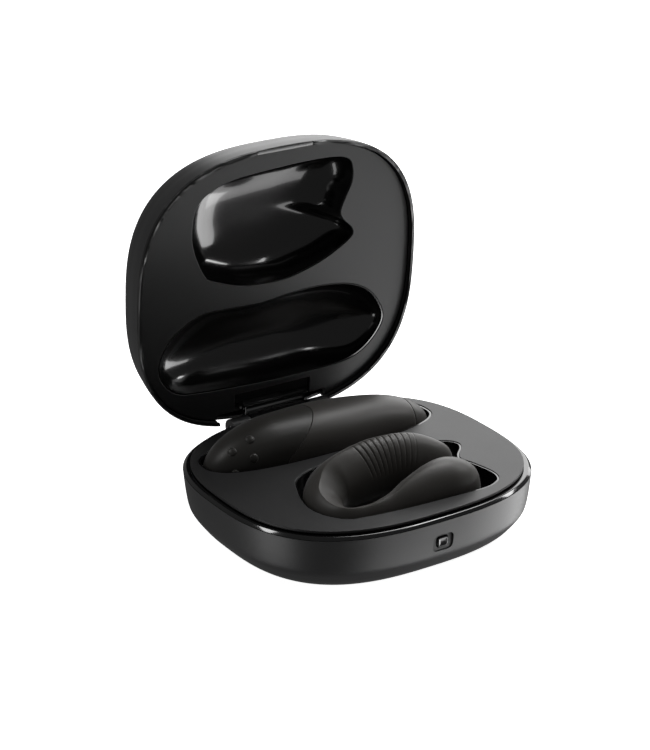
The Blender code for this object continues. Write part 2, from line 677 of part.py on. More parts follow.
def make_remote():
    seam = GAP / REMOTE_LENGTH
    pivot = add_pivot("remote_seat", (REMOTE_X, REMOTE_Y, remoteBottom))
    stations = [LEFT_SEAM + seam + (RIGHT_SEAM - LEFT_SEAM - 2 * seam) * i / 7 for i in range(8)]
    outer = [remote_ring(u, 0.0, seam_share(u)) for u in stations]
    inner = [remote_ring(u, REMOTE_SKIN, seam_share(u)) for u in reversed(stations)]
    body = finished("remote_body", loft(outer + inner, closed=True), "silicone", pivot)

    left = [-0.997, -0.985, -0.955, -0.90, -0.82, -0.70, -0.55, -0.40, -0.27, LEFT_SEAM - seam]
    outer = [remote_ring(u, 0.0, seam_share(u)) for u in left]
    inner = [remote_ring(u, REMOTE_SKIN, seam_share(u)) for u in reversed(left[3:])]
    end = finished("remote_button_end", loft(outer + inner), "dark_silicone", pivot)

    right = [RIGHT_SEAM + seam, 0.89, 0.94, 0.975, 0.995]
    cap_bow = [RIGHT_BOW, 2.5, 1.2, 0.4, 0.0]
    outer = [remote_ring(u, 0.0, bow) for u, bow in zip(right, cap_bow)]
    inner = [remote_ring(u, REMOTE_SKIN, bow) for u, bow in zip(right[:2], cap_bow)]
    finished("remote_end_cap", loft(outer[::-1] + inner), "silicone", pivot)

    inside_z = remoteBottom + 9.0
    board = (remote_x(REMOTE_BOARD[0]), remote_x(REMOTE_BOARD[1]))
    half = REMOTE_WIDTH / 3.9
    level = (inside_z, inside_z + 1.0)
    finished("remote_board", box(board, (REMOTE_Y - half, REMOTE_Y + half), level), "board", pivot)
    cell = (remote_x(REMOTE_CELL[0]), remote_x(REMOTE_CELL[1]))
    finished("remote_battery", rod_x(REMOTE_Y, inside_z, REMOTE_WIDTH / 5.4, cell, 18), "foil", pivot)
    for side in ("left", "right"):
        spot = pin_spots()["remote_" + side]
        low = remoteBottom + 0.15
        finished("remote_contact_" + side, disc(spot, 1.5, low, low + 0.8, 14), "gold", pivot)
        cut(body, disc(spot, 1.5 + GAP, 0, low + 3.0, 14), "contact_way_" + side)
    for name, spot in REMOTE_BUTTONS.items():
        make_remote_button(name, spot, end)


def remote_surface(x_share, y_share):
    """Point and outward normal on the top of the remote, at shares of its half length and half width."""
    y = y_share * REMOTE_WIDTH / 2

    def height(u, v):
        middle, width, half = remote_station(u)
        lean = min(0.999, abs(v / width)) ** (1 / 0.92)
        return middle + half * math.sqrt(1 - lean**2) ** 0.92

    step = 0.3
    du = step / (REMOTE_LENGTH / 2)
    slope_x = (height(x_share + du, y) - height(x_share - du, y)) / (2 * step)
    slope_y = (height(x_share, y + step) - height(x_share, y - step)) / (2 * step)
    normal = Vector((-slope_x, -slope_y, 1.0)).normalized()
    return Vector((remote_x(x_share), REMOTE_Y + y, height(x_share, y))), normal


def make_remote_button(name, spot, end):
    """A low dome on a stem, in a hole that runs along the surface's normal."""
    point, normal = remote_surface(*spot)
    turn = normal.to_track_quat("Z", "Y").to_matrix().to_4x4()
    place = Matrix.Translation(point) @ turn
    radius = REMOTE_BUTTON_RADIUS
    rise = REMOTE_BUTTON_RISE
    heights = ((-1.7, 0.95), (-0.3, 0.95), (rise * 0.45, 0.86), (rise * 0.85, 0.6), (rise, 0.25))
    bm = loft([at_height(circle((0, 0), radius * share, 16), z) for z, share in heights])
    bmesh.ops.transform(bm, matrix=place, verts=bm.verts)
    pivot = add_pivot("remote_button_pivot_" + name, point)
    finished("remote_button_" + name, bm, "dark_silicone", pivot)
    hole = loft([at_height(circle((0, 0), radius + GAP, 16), z) for z in (-3.5, 3.0)])
    bmesh.ops.transform(hole, matrix=place, verts=hole.verts)
    cut(end, hole, "button_hole_" + name)


# ---- Wearable


def device_stations(count):
    """Middle, half thickness and crest along the folded body, evenly spaced."""
    half_width, half_depth = DEVICE_WIDTH / 2, DEVICE_DEPTH / 2
    rows = [Vector((DEVICE_X + x * half_width, DEVICE_Y + y * half_depth, thickness * half_depth, crest))
            for x, y, thickness, crest in DEVICE_PATH]
    rows = [2 * rows[0] - rows[1]] + rows + [2 * rows[-1] - rows[-2]]
    dense = []
    for a, b, c, d in zip(rows, rows[1:], rows[2:], rows[3:]):
        for step in range(10):
            t = step / 10
            dense.append(on_curve(a, b, c, d, t))
    dense.append(rows[-2])
    return [dense[round(i * (len(dense) - 1) / (count - 1))] for i in range(count)]


def device_ring(stations, i, wall=0.0):
    here = stations[i]
    along = stations[min(i + 1, len(stations) - 1)] - stations[max(i - 1, 0)]
    side = Vector((-along.y, along.x)).normalized()
    top = deckTop + here[3]
    low = DEVICE_BOTTOM_Z + 2.5 * (1 - min(1.0, here[2] / 7.0))
    middle, half = (top + low) / 2, (top - low) / 2
    ring = []
    for k in range(DEVICE_SIDES):
        turn = 2 * math.pi * k / DEVICE_SIDES
        out = (here[2] - wall) * math.cos(turn)
        ring.append((here.x + side.x * out, here.y + side.y * out, middle + (half - wall) * math.sin(turn)))
    return ring


def make_device():
    pivot = add_pivot("device_seat", (DEVICE_X, DEVICE_Y, DEVICE_BOTTOM_Z))
    stations = device_stations(25)
    rings = [device_ring(stations, i) for i in range(len(stations))]
    skin = finished("device_skin", loft(rings), "silicone", pivot)
    for name, span in (("rear", (3, 9)), ("front", (17, 22))):
        rings = [device_ring(stations, i, DEVICE_SKIN) for i in range(span[0], span[1])]
        cut(skin, loft(rings), "hollow_" + name)
        rings = [device_ring(stations, i, DEVICE_SKIN + GAP) for i in range(span[0], span[1])]
        core, finish = ("device_cell", "foil") if name == "rear" else ("device_driver", "steel")
        finished(core, loft(shortened(rings)), finish, pivot)
    front = stations[19]
    cut(skin, disc((front.x, front.y), 1.2, 0, DEVICE_BOTTOM_Z + 6, 12), "cable_way_front")
    for side in ("left", "right"):
        spot = pin_spots()["device_" + side]
        low = DEVICE_BOTTOM_Z - 0.6
        finished("device_contact_" + side, disc(spot, 1.5, low, low + 1.2, 14), "gold", pivot)
        cut(skin, disc(spot, 1.5 + GAP, 0, DEVICE_BOTTOM_Z + 6.0, 14), "device_contact_way_" + side)


def shortened(rings):
    """The rings with both end ones drawn in by the usual gap."""
    first, last = rings[0], rings[-1]
    inward = (Vector(rings[1][0]) - Vector(first[0])).normalized() * GAP
    back = (Vector(rings[-2][0]) - Vector(last[0])).normalized() * GAP
    return [[Vector(p) + inward for p in first]] + rings[1:-1] + [[Vector(p) + back for p in last]]


FINISHES = {
    "charcoal": CHARCOAL, "gloss_black": GLOSS_BLACK, "silicone": SILICONE, "dark_silicone": DARK_SILICONE,
    "board": BOARD, "steel": STEEL, "gold": GOLD, "foil": FOIL, "rubber": RUBBER, "guide": RUBBER,
}


def main():
    clear_scene()
    make_base()
    make_base_insides()
    make_front_button()
    lid_pivot = add_pivot("lid_pivot", (0, hingeY, hingeZ))
    make_hinge(lid_pivot)
    make_lid(lid_pivot)
    make_remote()
    make_device()
    lid_pivot.rotation_euler = (math.radians(-LID_OPEN_DEGREES), 0, 0)
    bpy.context.view_layer.update()


main()
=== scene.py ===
import json
import math
import bmesh
import bpy
from mathutils import Matrix, Vector


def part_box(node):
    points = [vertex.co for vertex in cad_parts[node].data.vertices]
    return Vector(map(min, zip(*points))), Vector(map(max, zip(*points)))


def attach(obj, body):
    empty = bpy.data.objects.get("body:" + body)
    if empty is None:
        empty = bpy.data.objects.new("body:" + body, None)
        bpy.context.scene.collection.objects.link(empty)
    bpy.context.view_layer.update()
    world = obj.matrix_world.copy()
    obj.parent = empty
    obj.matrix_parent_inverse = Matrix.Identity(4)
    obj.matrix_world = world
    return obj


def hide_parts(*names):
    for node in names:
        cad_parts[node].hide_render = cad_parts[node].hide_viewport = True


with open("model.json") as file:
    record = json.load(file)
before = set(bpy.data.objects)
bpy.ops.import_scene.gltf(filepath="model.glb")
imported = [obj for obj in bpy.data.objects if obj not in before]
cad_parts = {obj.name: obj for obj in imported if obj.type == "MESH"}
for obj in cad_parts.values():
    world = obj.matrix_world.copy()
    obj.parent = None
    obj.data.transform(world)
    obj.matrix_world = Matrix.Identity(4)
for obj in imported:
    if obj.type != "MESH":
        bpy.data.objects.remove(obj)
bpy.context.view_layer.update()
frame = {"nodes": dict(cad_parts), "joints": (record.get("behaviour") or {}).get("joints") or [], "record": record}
mm = 0.001
print("frame loaded,", len(frame["nodes"]), "nodes")

# the case's own outline and heights, read from the frame
ringLow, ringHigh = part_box("base_trim_ring")
case = {
    "halfWidth": ringHigh.x,
    "halfDepth": -ringLow.y,
    "power": 2.71,
    "rimZ": ringHigh.z,
    "deckZ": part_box("base_deck")[1].z,
    "floorZ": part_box("base_shell")[0].z,
    "lidGap": 0.25 * mm,
    "sides": 176,
    "gap": 0.3 * mm,
    "beyond": 2 * mm,
    "behind": 70 * mm,
    "above": 30 * mm,
}
hinge = next(joint for joint in frame["joints"] if joint["name"] == "lid_hinge")
hingeAt = Vector(hinge["pos_m"])
lidOpen = (
    Matrix.Translation(hingeAt)
    @ Matrix.Rotation(-math.radians(hinge["range_deg"][1]), 4, "X")
    @ Matrix.Translation(-hingeAt)
)


# shader maths as plain expressions
class Val:
    def __init__(self, tree, socket):
        self.tree = tree
        self.socket = socket

    def node(self, kind, settings=None, inputs=None, output=0):
        made = self.tree.nodes.new(kind)
        for key, value in (settings or {}).items():
            setattr(made, key, value)
        for key, value in (inputs or {}).items():
            if isinstance(value, Val):
                self.tree.links.new(value.socket, made.inputs[key])
            else:
                made.inputs[key].default_value = value
        return Val(self.tree, made.outputs[output])

    def math(self, operation, first, second):
        return self.node("ShaderNodeMath", {"operation": operation}, {0: first, 1: second})

    def __add__(self, other):
        return self.math("ADD", self, other)

    def __rsub__(self, other):
        return self.math("SUBTRACT", other, self)

    def __mul__(self, other):
        return self.math("MULTIPLY", self, other)


def newMaterial(name, fixed):
    made = bpy.data.materials.new(name)
    made.use_nodes = True
    shader = made.node_tree.nodes["Principled BSDF"]
    for key, value in fixed.items():
        shader.inputs[key].default_value = value
    place = Val(made.node_tree, made.node_tree.nodes.new("ShaderNodeTexCoord").outputs["Object"])
    return made, shader, place


def feed(shader, socket, value):
    value.tree.links.new(value.socket, shader.inputs[socket])


def noiseOf(place, scale, detail=3.0, rough=0.5):
    inputs = {"Vector": place, "Scale": scale, "Detail": detail, "Roughness": rough}
    return place.node("ShaderNodeTexNoise", None, inputs)


def bumped(place, height, strength, distance):
    return place.node("ShaderNodeBump", None, {"Height": height, "Strength": strength, "Distance": distance})


def mixColor(factor, low, high):
    return factor.node(
        "ShaderNodeMix", {"data_type": "RGBA"}, {0: factor, 6: (*low, 1.0), 7: (*high, 1.0)}, output=2
    )


# charcoal plastic: a fine moulded grain under a faint cloudiness
charcoal = {"low": (0.0125, 0.0125, 0.013), "high": (0.0165, 0.0165, 0.017), "grain": 2600.0, "cloud": 38.0}


def makeCharcoal(name, roughness, shine=0.5):
    made, shader, place = newMaterial(name, {"IOR": 1.48, "Specular IOR Level": shine})
    cloud = noiseOf(place, charcoal["cloud"], 4.0, 0.6)
    grain = noiseOf(place, charcoal["grain"], 2.0, 0.6)
    feed(shader, "Base Color", mixColor(cloud, charcoal["low"], charcoal["high"]))
    feed(shader, "Roughness", cloud * 0.08 + grain * 0.05 + (roughness - 0.065))
    feed(shader, "Normal", bumped(place, grain, 0.35, 0.00004))
    return made


gloss = {"color": (0.0022, 0.0022, 0.0024), "wave": 26.0, "dust": 900.0}


def makeGloss(name, roughness, waviness, coat=0.55):
    made, shader, place = newMaterial(name, {"IOR": 1.5, "Coat Roughness": 0.03, "Coat IOR": 1.5})
    wave = noiseOf(place, gloss["wave"], 1.0, 0.4)
    dust = noiseOf(place, gloss["dust"], 2.0, 0.5)
    low = tuple(0.8 * c for c in gloss["color"])
    feed(shader, "Base Color", mixColor(wave, low, gloss["color"]))
    feed(shader, "Roughness", dust * 0.03 + roughness)
    feed(shader, "Coat Weight", (1.0 - dust * 0.2) * coat)
    feed(shader, "Normal", bumped(place, wave, waviness, 0.0004))
    return made


silicone = {"grain": 3200.0, "cloud": 55.0}


def makeSilicone(name, low, high, roughness):
    made, shader, place = newMaterial(name, {"IOR": 1.41, "Sheen Weight": 0.12, "Sheen Roughness": 0.45})
    cloud = noiseOf(place, silicone["cloud"], 3.0, 0.5)
    grain = noiseOf(place, silicone["grain"], 2.0, 0.5)
    feed(shader, "Base Color", mixColor(cloud, low, high))
    feed(shader, "Roughness", cloud * 0.06 + grain * 0.04 + (roughness - 0.05))
    feed(shader, "Normal", bumped(place, grain, 0.25, 0.00003))
    return made


def makeMetal(name, low, high, roughness, metallic=1.0):
    made, shader, place = newMaterial(name, {"Metallic": metallic})
    brushed = place.node("ShaderNodeMapping", None, {"Vector": place, "Scale": (60.0, 60.0, 900.0)})
    lines = noiseOf(brushed, 8.0, 3.0, 0.6)
    feed(shader, "Base Color", mixColor(lines, low, high))
    feed(shader, "Roughness", lines * 0.12 + (roughness - 0.06))
    return made


def makeRubber(name):
    made, shader, place = newMaterial(name, {"IOR": 1.45})
    grain = noiseOf(place, 1800.0, 3.0, 0.6)
    feed(shader, "Base Color", mixColor(grain, (0.012, 0.012, 0.012), (0.02, 0.02, 0.02)))
    feed(shader, "Roughness", grain * 0.1 + 0.72)
    feed(shader, "Normal", bumped(place, grain, 0.5, 0.00006))
    return made


def makeBoard(name):
    made, shader, place = newMaterial(name, {"IOR": 1.5})
    settings = {"feature": "DISTANCE_TO_EDGE"}
    weave = place.node("ShaderNodeTexVoronoi", settings, {"Vector": place, "Scale": 320.0})
    feed(shader, "Base Color", mixColor(weave, (0.012, 0.09, 0.04), (0.02, 0.13, 0.06)))
    feed(shader, "Roughness", weave * 0.2 + 0.35)
    return made


finishes = {
    "charcoal_shell": makeCharcoal("charcoalPlastic", 0.42),
    "charcoal_deck": makeCharcoal("charcoalDeck", 0.43, 0.38),
    "gloss_black": makeGloss("glossLiner", 0.15, 0.04),
    "gloss_rim": makeGloss("glossRim", 0.10, 0.02),
    "satin_rim": makeGloss("satinRim", 0.36, 0.02, 0.0),
    "silicone": makeSilicone("warmSilicone", (0.028, 0.0255, 0.0225), (0.033, 0.030, 0.0265), 0.44),
    "silicone_dark": makeSilicone("darkSilicone", (0.0125, 0.0115, 0.0095), (0.0155, 0.0142, 0.012), 0.42),
    "foot_rubber": makeRubber("footRubber"),
    "circuit_board": makeBoard("solderMask"),
    "contact_gold": makeMetal("goldPlate", (0.72, 0.50, 0.18), (0.85, 0.64, 0.28), 0.28),
    "cell_foil": makeMetal("cellFoil", (0.40, 0.41, 0.43), (0.52, 0.53, 0.55), 0.42, 0.6),
    "steel": makeMetal("plainSteel", (0.45, 0.45, 0.46), (0.60, 0.60, 0.61), 0.30),
}
for part in frame["record"]["subparts"]:
    node = frame["nodes"][part["node"]]
    node.data.materials.clear()
    node.data.materials.append(finishes[part["material_slot"]])
print("materials made")


# rings that are extruded and shaped one after another; each point keeps its own turn round the ring
def startRing(sides, place):
    bm = bmesh.new()
    layer = bm.verts.layers.float.new("turn")
    made = bmesh.ops.create_circle(bm, segments=sides, radius=1.0)["verts"]
    for vert in made:
        vert[layer] = math.atan2(vert.co.y, vert.co.x) % (2 * math.pi)
    edges = list({edge for vert in made for edge in vert.link_edges})
    shapeRing(bm, edges, place)
    return bm, edges


def shapeRing(bm, edges, place):
    layer = bm.verts.layers.float["turn"]
    for vert in {vert for edge in edges for vert in edge.verts}:
        vert.co = place(vert[layer])


def nextRing(bm, edges, place):
    made = bmesh.ops.extrude_edge_only(bm, edges=edges)["geom"]
    fresh = {item for item in made if isinstance(item, bmesh.types.BMVert)}
    grown = [
        item for item in made
        if isinstance(item, bmesh.types.BMEdge) and item.verts[0] in fresh and item.verts[1] in fresh
    ]
    shapeRing(bm, grown, place)
    return grown


def loft(sides, places, ends="capped"):
    bm, first = startRing(sides, places[0])
    edges = first
    for place in places[1:]:
        edges = nextRing(bm, edges, place)
    if ends == "capped":
        bmesh.ops.edgeloop_fill(bm, edges=first)
        bmesh.ops.edgeloop_fill(bm, edges=edges)
    elif ends == "joined":
        bmesh.ops.bridge_loops(bm, edges=first + edges)
    elif ends == "tip":
        bmesh.ops.edgeloop_fill(bm, edges=edges)
    return bm


def boxOf(low, high):
    bm = bmesh.new()
    bmesh.ops.create_cube(bm, size=1.0)
    size = Vector(high) - Vector(low)
    bmesh.ops.scale(bm, vec=size, verts=bm.verts)
    bmesh.ops.translate(bm, vec=(Vector(high) + Vector(low)) / 2, verts=bm.verts)
    return bm


def newObject(name, bm):
    bmesh.ops.remove_doubles(bm, verts=bm.verts, dist=1e-7)
    bmesh.ops.recalc_face_normals(bm, faces=bm.faces)
    mesh = bpy.data.meshes.new(name)
    bm.to_mesh(mesh)
    bm.free()
    made = bpy.data.objects.new(name, mesh)
    bpy.context.scene.collection.objects.link(made)
    return made


def settle(piece):
    graph = bpy.context.evaluated_depsgraph_get()
    mesh = bpy.data.meshes.new_from_object(piece.evaluated_get(graph))
    piece.modifiers.clear()
    piece.data = mesh


def carve(piece, tools):
    helpers = [newObject(piece.name + "Tool", tool) for tool in tools]
    for helper in helpers:
        modifier = piece.modifiers.new("carve", "BOOLEAN")
        modifier.object = helper
        modifier.operation = "DIFFERENCE"
    bpy.context.view_layer.update()
    settle(piece)
    for helper in helpers:
        bpy.data.objects.remove(helper)


def softenEdges(piece, width, segments=3, angle=35.0):
    modifier = piece.modifiers.new("edges", "BEVEL")
    modifier.width = width
    modifier.segments = segments
    modifier.limit_method = "ANGLE"
    modifier.angle_limit = math.radians(angle)
    settle(piece)


def finishPiece(piece, finish, body, nodes, angle=32.0, move=None, weighted=False):
    piece.data.shade_smooth()
    piece.data.set_sharp_from_angle(angle=math.radians(angle))
    if weighted:
        even = piece.modifiers.new("even", "WEIGHTED_NORMAL")
        even.keep_sharp = True
        even.weight = 100
        settle(piece)
    if move:
        piece.data.transform(move)
    piece.data.materials.clear()
    piece.data.materials.append(finishes[finish])
    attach(piece, body)
    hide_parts(*nodes)


# outlines
def power(value, exponent):
    return math.copysign(abs(value) ** exponent, value)


def roundedSquare(halfWidth, halfDepth, turn, z):
    exponent = 2 / case["power"]
    c, s = power(math.cos(turn), exponent), power(math.sin(turn), exponent)
    return Vector((halfWidth * c, halfDepth * s, z))


def caseRing(inset, z):
    def place(turn):
        even = turn + 0.10 * math.sin(4 * turn)  # spreads the points along the round corners
        return roundedSquare(case["halfWidth"] - inset, case["halfDepth"] - inset, even, z)
    return place


def onCurve(a, b, c, d, t):
    straight = 2 * b + (c - a) * t
    return 0.5 * (straight + (2 * a - 5 * b + 4 * c - d) * t**2 + (3 * b - a - 3 * c + d) * t**3)


def closedCurve(points):
    corners = [Vector(point) for point in points]
    count = len(corners)
    dense = []
    for i in range(count):
        a, b, c, d = (corners[(i + k - 1) % count] for k in range(4))
        dense += [onCurve(a, b, c, d, step / 24) for step in range(24)]
    lengths = [0.0]
    for i, point in enumerate(dense):
        lengths.append(lengths[-1] + (dense[(i + 1) % len(dense)] - point).length)

    def at(turn):
        target = (turn / (2 * math.pi)) % 1.0 * lengths[-1]
        low, high = 0, len(dense)
        while high - low > 1:
            middle = (low + high) // 2
            if lengths[middle] <= target:
                low = middle
            else:
                high = middle
        share = (target - lengths[low]) / (lengths[low + 1] - lengths[low])
        return dense[low].lerp(dense[(low + 1) % len(dense)], share)

    return at


def softened(outline, reach):
    steps = [(k / 6, math.cos(math.pi * k / 14)) for k in range(-6, 7)]
    total = sum(weight for share, weight in steps)

    def at(turn):
        parts = (outline(turn + share * reach) * weight for share, weight in steps)
        return sum(parts, Vector((0, 0))) / total
    return at


def spread(outline, distance):
    def at(turn):
        along = outline(turn + 0.02) - outline(turn - 0.02)
        return outline(turn) + Vector((along.y, -along.x)).normalized() * distance
    return at


def middleOf(outline):
    return sum((outline(2 * math.pi * i / 64) for i in range(64)), Vector((0, 0))) / 64


def flatRing(outline, z, scale=1.0, about=None):
    def place(turn):
        point = outline(turn)
        if about is not None:
            point = about + (point - about) * scale
        return Vector((point.x, point.y, z))
    return place


def shares(centre, half, points):
    return closedCurve([(centre[0] + p[0] * half[0], centre[1] + p[1] * half[1]) for p in points])


remoteLow = Vector((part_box("remote_button_end")[0].x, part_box("remote_body")[0].y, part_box("remote_body")[0].z))
remoteHigh = Vector((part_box("remote_end_cap")[1].x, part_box("remote_body")[1].y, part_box("remote_body")[1].z))
remote = {
    "middle": (remoteLow + remoteHigh) / 2,
    "half": (remoteHigh - remoteLow) / 2,
    "clearance": 0.9 * mm,
    "leftSeam": -0.08,
    "rightSeam": 0.81,
    "leftBow": 15.5 * mm,
    "rightBow": 1.0 * mm,
    "sides": 96,
}
wearable = {
    "centre": Vector((-3.5, -22.0)) * mm,
    "half": Vector((29.5, 18.75)) * mm,
    "low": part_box("device_skin")[0].z,
}


def remoteMouth(turn):
    reach = remote["half"] + Vector((1, 1, 0)) * remote["clearance"]
    return Vector((
        remote["middle"].x + reach.x * power(math.cos(turn), 0.78),
        remote["middle"].y + reach.y * power(math.sin(turn), 0.72),
    ))


deviceMouth = shares(wearable["centre"], wearable["half"], [
    (1.27, 1.02), (1.40, 0.78), (1.36, 0.56), (1.22, 0.33), (1.17, 0.15), (1.22, -0.16), (1.265, -0.59),
    (1.24, -0.85), (1.15, -1.02), (0.93, -1.13), (0.46, -1.10), (-0.05, -1.06), (-0.56, -0.97),
    (-0.83, -0.86), (-1.0, -0.53), (-1.06, -0.16), (-1.03, 0.21), (-0.93, 0.64), (-0.76, 1.09),
    (-0.36, 1.34), (0.20, 1.38), (0.80, 1.26),
][::-1])
lidRemoteMouth = shares(remote["middle"].xy, remote["half"].xy, [
    (-1.04, -0.12), (-0.99, 0.42), (-0.85, 0.81), (-0.60, 0.94), (-0.30, 1.01), (0.0, 1.06), (0.32, 1.06),
    (0.60, 1.04), (0.80, 0.88), (0.95, 0.48), (1.03, -0.02), (0.99, -0.52), (0.87, -1.02), (0.68, -1.34),
    (0.40, -1.48), (0.15, -1.46), (-0.15, -1.36), (-0.42, -1.40), (-0.66, -1.40), (-0.84, -1.12),
    (-0.97, -0.72),
][::-1])
lidDeviceMouth = shares(wearable["centre"], wearable["half"], [
    (-0.81, 0.83), (-0.39, 1.06), (0.12, 1.12), (0.46, 1.03), (0.80, 0.85), (1.14, 0.54), (1.16, 0.34),
    (1.03, 0.13), (0.98, -0.05), (1.04, -0.32), (1.12, -0.59), (1.13, -0.85), (1.07, -1.09), (0.86, -1.20),
    (0.46, -1.22), (-0.05, -1.19), (-0.56, -1.12), (-0.86, -0.96), (-1.02, -0.75), (-1.085, -0.43),
    (-1.085, 0.0), (-1.0, 0.43), (-0.90, 0.72),
][::-1])


def curveThrough(points, count):
    rows = [Vector(point) for point in points]
    rows = [2 * rows[0] - rows[1]] + rows + [2 * rows[-1] - rows[-2]]
    dense = []
    for a, b, c, d in zip(rows, rows[1:], rows[2:], rows[3:]):
        dense += [onCurve(a, b, c, d, step / 12) for step in range(12)]
    dense.append(rows[-2])
    lengths = [0.0]
    for a, b in zip(dense, dense[1:]):
        lengths.append(lengths[-1] + (b - a).length)
    picked = []
    at = 0
    for i in range(count):
        target = lengths[-1] * i / (count - 1)
        while at < len(dense) - 2 and lengths[at + 1] < target:
            at += 1
        picked.append(dense[at].lerp(dense[at + 1], (target - lengths[at]) / (lengths[at + 1] - lengths[at])))
    return picked


# shells
baseShell = {
    "lean": [(0.0, 0.0), (0.17, 0.31), (0.34, 0.69), (0.52, 1.3), (0.60, 2.0), (0.69, 3.4), (0.80, 5.4),
             (0.89, 8.0), (0.96, 11.0), (1.0, 15.0)],
    "chamfer": 1.06 * mm, "wall": 2.0 * mm, "seam": 0.06 * mm, "rings": 44,
    "innerStep": 1.3 * mm, "innerAt": 0.52, "innerFloor": 13 * mm,
    "dish": (4.1, 3.15), "dishRadius": 1.9 * mm, "dishDepth": 1.5 * mm,
    "window": (2.4, 2.15), "windowRadius": 1.2 * mm, "windowDepth": 5 * mm,
    "port": (4.8, 1.9), "portRadius": 1.85 * mm, "portDepth": 9 * mm,
}


def wallRings(lean, rings, top, height, down):
    scaled = curveThrough([(share * height, inset * mm) for share, inset in lean], rings)
    return [caseRing(point.y, top + down * point.x) for point in scaled]


def roundedRing(centre, half, radius, y):
    def along(side, swing):
        return math.copysign(side - radius, swing) * min(1.0, abs(swing) * 40) + radius * swing

    def place(turn):
        x, z = along(half[0], math.cos(turn)), along(half[1], math.sin(turn))
        return Vector((centre[0] + x, y, centre[1] + z))
    return place


def roundedBarY(centre, half, radius, y):
    return loft(40, [roundedRing(centre, [side * mm for side in half], radius, at) for at in y])


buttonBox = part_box("front_button")
button = {
    "centre": ((buttonBox[0].x + buttonBox[1].x) / 2, (buttonBox[0].z + buttonBox[1].z) / 2),
    "half": (2.1, 1.85), "radius": 0.95, "least": 0.25,
    # depth behind the face and inset of each ring, from the flange over the rounded edge into the dished face
    "profile": [(1.4, 0.0), (0.55, 0.0), (0.30, 0.05), (0.12, 0.17), (0.02, 0.34), (0.0, 0.48), (0.04, 0.62),
                (0.14, 0.85), (0.20, 1.15), (0.22, 1.5)],
}
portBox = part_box("usb_port")
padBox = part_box("foot_pad")
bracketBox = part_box("base_hinge_bracket")


def bracketGap(ahead, low):
    left, right = bracketBox[0].x - case["gap"], bracketBox[1].x + case["gap"]
    return boxOf((left, bracketBox[0].y - ahead, low), (right, case["behind"], case["above"]))


def makeBaseShell():
    top = case["rimZ"] - baseShell["chamfer"]
    height = top - case["floorZ"]
    wall, seam, beyond = baseShell["wall"], baseShell["seam"], case["beyond"]
    outer = wallRings(baseShell["lean"], baseShell["rings"], top - seam, height - seam, -1)
    inner = [
        caseRing(wall, top - seam),
        caseRing(wall + baseShell["innerStep"], top - baseShell["innerAt"] * height),
        caseRing(baseShell["innerFloor"], case["floorZ"] + wall),
    ]
    shell = newObject("baseShell", loft(case["sides"], inner[::-1] + outer))
    back, front = case["halfDepth"], -case["halfDepth"]
    portAt = (0, (portBox[0].z + portBox[1].z) / 2)
    dish = (front - beyond, front + baseShell["dishDepth"])
    window = (front, front + baseShell["windowDepth"])
    port = (back - baseShell["portDepth"], back + beyond)
    carve(shell, [
        roundedBarY(button["centre"], baseShell["dish"], baseShell["dishRadius"], dish),
        roundedBarY(button["centre"], baseShell["window"], baseShell["windowRadius"], window),
        roundedBarY(portAt, baseShell["port"], baseShell["portRadius"], port),
        bracketGap(case["gap"], bracketBox[0].z - case["gap"]),
        loft(96, [padRing(case["gap"], z) for z in (-beyond, padBox[1].z + 0.2 * mm)]),
    ])
    softenEdges(shell, 0.16 * mm, 3, 38.0)
    finishPiece(shell, "charcoal_shell", "base", ["base_shell"], weighted=True)


def makeFrontButton():
    front, back = buttonBox[0].y, buttonBox[1].y

    def ring(depth, inset):
        half = [(side - inset) * mm for side in button["half"]]
        radius = max(button["least"], button["radius"] - inset) * mm
        return roundedRing(button["centre"], half, radius, front + depth * mm)

    rings = [ring((back - front) / mm, 0.0)] + [ring(depth, inset) for depth, inset in button["profile"]]
    piece = newObject("frontButton", loft(64, rings))
    finishPiece(piece, "gloss_rim", "front_button", ["front_button"], angle=70.0)


def padRing(margin, z):
    def place(turn):
        return roundedSquare(padBox[1].x + margin, padBox[1].y + margin, turn, z)
    return place


def makeFootPad():
    pad = newObject("footPad", loft(96, [padRing(0, padBox[0].z), padRing(0, padBox[1].z)]))
    softenEdges(pad, 0.3 * mm, 3)
    finishPiece(pad, "foot_rubber", "base", ["foot_pad"])


baseRing = {"inner": 3.0 * mm, "edge": 0.26 * mm}


def makeBaseRing():
    top, chamfer = case["rimZ"], baseShell["chamfer"]
    places = [caseRing(0.0, top - chamfer), caseRing(chamfer, top), caseRing(baseRing["inner"], top),
              caseRing(baseRing["inner"], top - chamfer)]
    ring = newObject("baseTrimRing", loft(case["sides"], places, "joined"))
    carve(ring, [bracketGap(5 * mm, 0)])
    softenEdges(ring, baseRing["edge"], 3, 30.0)
    finishPiece(ring, "gloss_rim", "base", ["base_trim_ring"], weighted=True)


deck = {"inset": 2.5 * mm, "thickness": 1.0 * mm, "edge": 0.22 * mm, "lip": 0.12 * mm}


def makeDeck():
    low = case["deckZ"] - deck["thickness"]
    places = [caseRing(deck["inset"], z) for z in (low, case["deckZ"])]
    plate = newObject("baseDeck", loft(case["sides"], places))
    tools = [
        loft(200, [flatRing(spread(mouth, grow), z) for z in (low - 1 * mm, case["deckZ"] + 1 * mm)])
        for mouth, grow in ((remoteMouth, deck["lip"]), (deviceMouth, -deck["lip"]))
    ]
    carve(plate, tools + [bracketGap(case["gap"], 0)])
    softenEdges(plate, deck["edge"], 3, 40.0)
    finishPiece(plate, "charcoal_deck", "base", ["base_deck"], weighted=True)


# moulded liners: a thin bowl that runs in from its mouth
liner = {"wall": 0.7 * mm, "steps": 30, "sides": 200}


